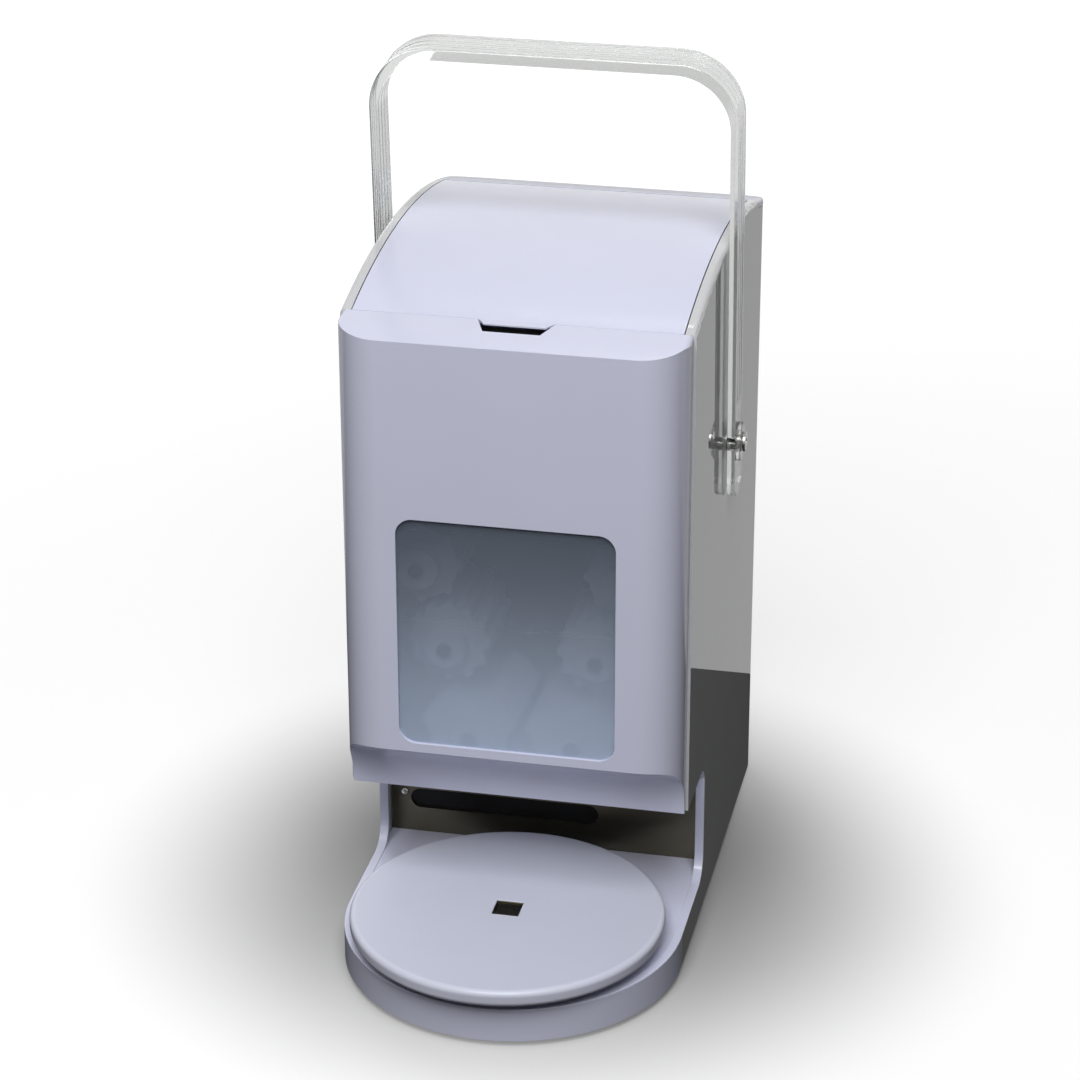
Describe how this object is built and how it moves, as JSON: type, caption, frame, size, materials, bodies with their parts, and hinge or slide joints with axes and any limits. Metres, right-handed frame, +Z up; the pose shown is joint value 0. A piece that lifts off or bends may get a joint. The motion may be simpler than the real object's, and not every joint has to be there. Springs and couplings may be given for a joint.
{
  "type": "sushi rice machine",
  "caption": "Table-top rice ball maker: lidded hopper, forming rollers behind a window, open bay, turntable and a clear bail handle.",
  "frame": {"origin": "under the middle of the whole machine, on the surface it stands on", "axes": "+Z up, -Y to the front where the turntable is, +X to the right as seen from the front"},
  "size_m": [0.2106, 0.3894, 0.4938],
  "materials": {
    "white_gloss": "gloss",
    "side_gloss": "gloss",
    "turntable_satin": "satin",
    "roller_white": "satin",
    "hopper_white": "satin",
    "frosted_pane": "frosted",
    "clear_handle": "clear",
    "clear_sheet": "clear",
    "plate_steel": "brushed",
    "bright_steel": "brushed",
    "screw_metal": "polished",
    "foot_rubber": "matte",
    "bush_bronze": "machined",
    "motor_grey": "satin",
    "pulley_metal": "machined",
    "board_green": "gloss",
    "black_plastic": "satin",
    "button_green": "gloss"
  },
  "bodies": {
    "housing": {"roof_cap": "white_gloss", "base_tray": "white_gloss", "side_panel_left": "side_gloss", "side_panel_right": "side_gloss", "rear_panel": "side_gloss", "hopper": "hopper_white", "roller_guard": "clear_sheet", "back_plate": "plate_steel", "bearing_plate": "bright_steel", "plate_spacers": "bright_steel", "guard_posts": "bright_steel", "motor_bracket": "bright_steel", "hinge_brackets": "bright_steel", "base_plate": "bright_steel", "lid_pins": "bright_steel", "foot_screws": "screw_metal", "rear_screws": "screw_metal", "plate_screws": "screw_metal", "handle_screws": "screw_metal", "feet": "foot_rubber", "table_belt": "foot_rubber", "drive_belt_left": "foot_rubber", "drive_belt_right": "foot_rubber", "roller_bushes": "bush_bronze", "table_bush": "bush_bronze", "roller_motor": "motor_grey", "table_motor": "motor_grey", "power_supply": "motor_grey", "control_board": "board_green", "sensor_board": "board_green", "power_inlet": "black_plastic", "sensor_window": "black_plastic", "cover_catches": "black_plastic", "control_switches": "black_plastic"},
    "cover": {"front_cover": "white_gloss", "window_pane": "frosted_pane"},
    "lid": {"lid": "white_gloss"},
    "handle": {"handle_strap": "clear_handle", "handle_caps": "clear_handle"},
    "turntable": {"turntable": "turntable_satin", "turntable_hub": "bright_steel", "table_pulley": "pulley_metal"},
    "table_drive": {"motor_pulley": "pulley_metal"},
    "roller_drive": {"motor_pinion": "bush_bronze"},
    "forming_left": {"forming_roller_left": "roller_white", "forming_shaft_left": "bright_steel"},
    "forming_right": {"forming_roller_right": "roller_white", "forming_shaft_right": "bright_steel"},
    "feed_left": {"feed_roller_left": "roller_white", "feed_shaft_left": "bright_steel"},
    "feed_right": {"feed_roller_right": "roller_white", "feed_shaft_right": "bright_steel"},
    "agitator_left": {"agitator_roller_left": "roller_white", "agitator_shaft_left": "bright_steel"},
    "agitator_right": {"agitator_roller_right": "roller_white", "agitator_shaft_right": "bright_steel"},
    "rocker": {"power_rocker": "black_plastic"},
    "button": {"start_button": "button_green"},
    "dial": {"size_dial": "black_plastic"}
  },
  "joints": [
    {"name": "forming_left_spin", "type": "hinge", "parent": "housing", "child": "forming_left", "pos_m": [-0.029, -0.0423, 0.124], "axis": [0, 1, 0], "continuous": true},
    {"name": "forming_right_spin", "type": "hinge", "parent": "housing", "child": "forming_right", "pos_m": [0.029, -0.0423, 0.124], "axis": [0, 1, 0], "continuous": true},
    {"name": "feed_left_spin", "type": "hinge", "parent": "housing", "child": "feed_left", "pos_m": [-0.042, -0.0423, 0.1795], "axis": [0, 1, 0], "continuous": true},
    {"name": "feed_right_spin", "type": "hinge", "parent": "housing", "child": "feed_right", "pos_m": [0.042, -0.0423, 0.1795], "axis": [0, 1, 0], "continuous": true},
    {"name": "agitator_left_spin", "type": "hinge", "parent": "housing", "child": "agitator_left", "pos_m": [-0.057, -0.0423, 0.226], "axis": [0, 1, 0], "continuous": true},
    {"name": "agitator_right_spin", "type": "hinge", "parent": "housing", "child": "agitator_right", "pos_m": [0.057, -0.0423, 0.226], "axis": [0, 1, 0], "continuous": true},
    {"name": "roller_drive_spin", "type": "hinge", "parent": "housing", "child": "roller_drive", "pos_m": [0.05878, 0.0037, 0.08894], "axis": [0, 1, 0], "continuous": true},
    {"name": "turntable_spin", "type": "hinge", "parent": "housing", "child": "turntable", "pos_m": [0, -0.1073, 0.034], "axis": [0, 0, 1], "continuous": true},
    {"name": "table_drive_spin", "type": "hinge", "parent": "housing", "child": "table_drive", "pos_m": [0, 0.0417, 0.014], "axis": [0, 0, 1], "continuous": true},
    {"name": "lid_hinge", "type": "hinge", "parent": "housing", "child": "lid", "pos_m": [0, 0.1307, 0.3746], "axis": [-1, 0, 0], "range_deg": [0, 32]},
    {"name": "handle_pivot", "type": "hinge", "parent": "housing", "child": "handle", "pos_m": [0, 0.0377, 0.269], "axis": [1, 0, 0], "range_deg": [-120, 120]},
    {"name": "cover_slide", "type": "slide", "parent": "housing", "child": "cover", "axis": [0, -1, 0], "range_m": [0, 0.12]},
    {"name": "rocker_tilt", "type": "hinge", "parent": "housing", "child": "rocker", "pos_m": [-0.034, 0.1767, 0.124], "axis": [-1, 0, 0], "range_deg": [0, 16]},
    {"name": "button_press", "type": "slide", "parent": "housing", "child": "button", "axis": [0, -1, 0], "range_m": [0, 0.002], "stiffness_N_per_m": 400},
    {"name": "dial_turn", "type": "hinge", "parent": "housing", "child": "dial", "pos_m": [0.034, 0.1827, 0.124], "axis": [0, 1, 0], "range_deg": [0, 270]}
  ],
  "couplings": [
    {"joint": "forming_right_spin", "follows": "forming_left_spin", "ratio": -1},
    {"joint": "feed_left_spin", "follows": "forming_left_spin", "ratio": 1},
    {"joint": "feed_right_spin", "follows": "forming_left_spin", "ratio": -1},
    {"joint": "agitator_left_spin", "follows": "forming_left_spin", "ratio": 1},
    {"joint": "agitator_right_spin", "follows": "forming_left_spin", "ratio": -1},
    {"joint": "roller_drive_spin", "follows": "forming_left_spin", "ratio": 1.7059},
    {"joint": "table_drive_spin", "follows": "turntable_spin", "ratio": 3}
  ]
}
